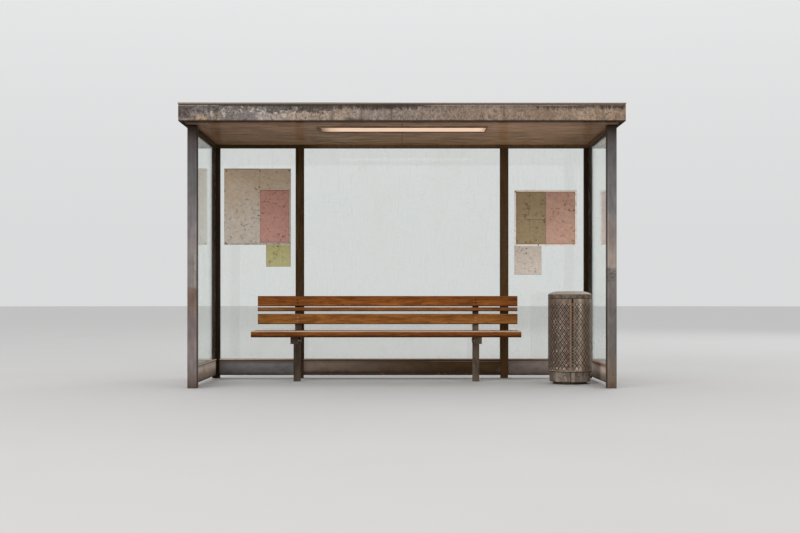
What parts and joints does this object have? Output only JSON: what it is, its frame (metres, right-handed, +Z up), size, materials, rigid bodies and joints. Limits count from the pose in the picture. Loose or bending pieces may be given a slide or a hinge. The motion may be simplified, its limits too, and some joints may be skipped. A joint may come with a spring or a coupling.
{
  "type": "bus shelter",
  "caption": "Open-fronted glazed bus shelter with a flat overhanging roof, kick panels, timber bench, ceiling light, bare notice sheets and a perforated litter bin.",
  "frame": {"origin": "on the ground under the middle of the roof", "axes": "+Z up, -Y out of the open front, +X to the right as seen from the front, along the longest side"},
  "size_m": [3.65, 1.8, 2.35],
  "materials": {
    "front_post_paint": "weathered satin grey paint",
    "back_frame_paint": "dark brown satin paint",
    "kick_panel_paint": "dusty grey satin paint",
    "pane_glass": "clear, dusty and spotted",
    "fascia_paint": "weathered matt beige-grey paint with grime",
    "soffit_paint": "semi-gloss brown-grey paint",
    "roof_metal": "weathered matt light grey",
    "light_frame_paint": "satin",
    "light_cover": "frosted, lit",
    "bench_steel": "dark satin paint, worn",
    "bench_wood": "varnished and weathered",
    "bin_steel": "dull weathered stainless",
    "bin_liner_steel": "dark matt",
    "board_cream": "matt",
    "sheet_pink": "matt",
    "note_green": "matt",
    "board_white": "matt",
    "sheet_olive": "matt",
    "sheet_rose": "matt",
    "note_white": "matt",
    "glazing_seal": "matt black rubber",
    "fixing_steel": "dull zinc"
  },
  "bodies": {
    "root": {"front_post_left": "front_post_paint", "front_post_right": "front_post_paint", "back_post_left": "back_frame_paint", "back_post_inner_left": "back_frame_paint", "back_post_inner_right": "back_frame_paint", "back_post_right": "back_frame_paint", "head_rail_back": "back_frame_paint", "head_rail_left": "back_frame_paint", "head_rail_right": "back_frame_paint", "kick_panel_back_left": "kick_panel_paint", "kick_panel_back_middle": "kick_panel_paint", "kick_panel_back_right": "kick_panel_paint", "kick_panel_left": "kick_panel_paint", "kick_panel_right": "kick_panel_paint", "glass_back_left": "pane_glass", "glass_back_middle": "pane_glass", "glass_back_right": "pane_glass", "glass_left": "pane_glass", "glass_right": "pane_glass", "fascia_front": "fascia_paint", "fascia_back": "fascia_paint", "fascia_left": "fascia_paint", "fascia_right": "fascia_paint", "soffit": "soffit_paint", "roof_sheet": "roof_metal", "light_frame": "light_frame_paint", "light_cover": "light_cover", "bench_frame_left": "bench_steel", "bench_frame_right": "bench_steel", "bench_back_board_top": "bench_wood", "bench_back_slat": "bench_wood", "bench_back_board_low": "bench_wood", "bench_seat_board_front": "bench_wood", "bench_seat_boards_rear": "bench_wood", "bin_base": "bin_steel", "bin_shell": "bin_steel", "bin_lid": "bin_steel", "bin_liner": "bin_liner_steel", "notice_board_left": "board_cream", "notice_sheet_left": "sheet_pink", "note_left": "note_green", "notice_board_right": "board_white", "notice_sheet_right_a": "sheet_olive", "notice_sheet_right_b": "sheet_rose", "note_right": "note_white"}
  },
  "joints": []
}
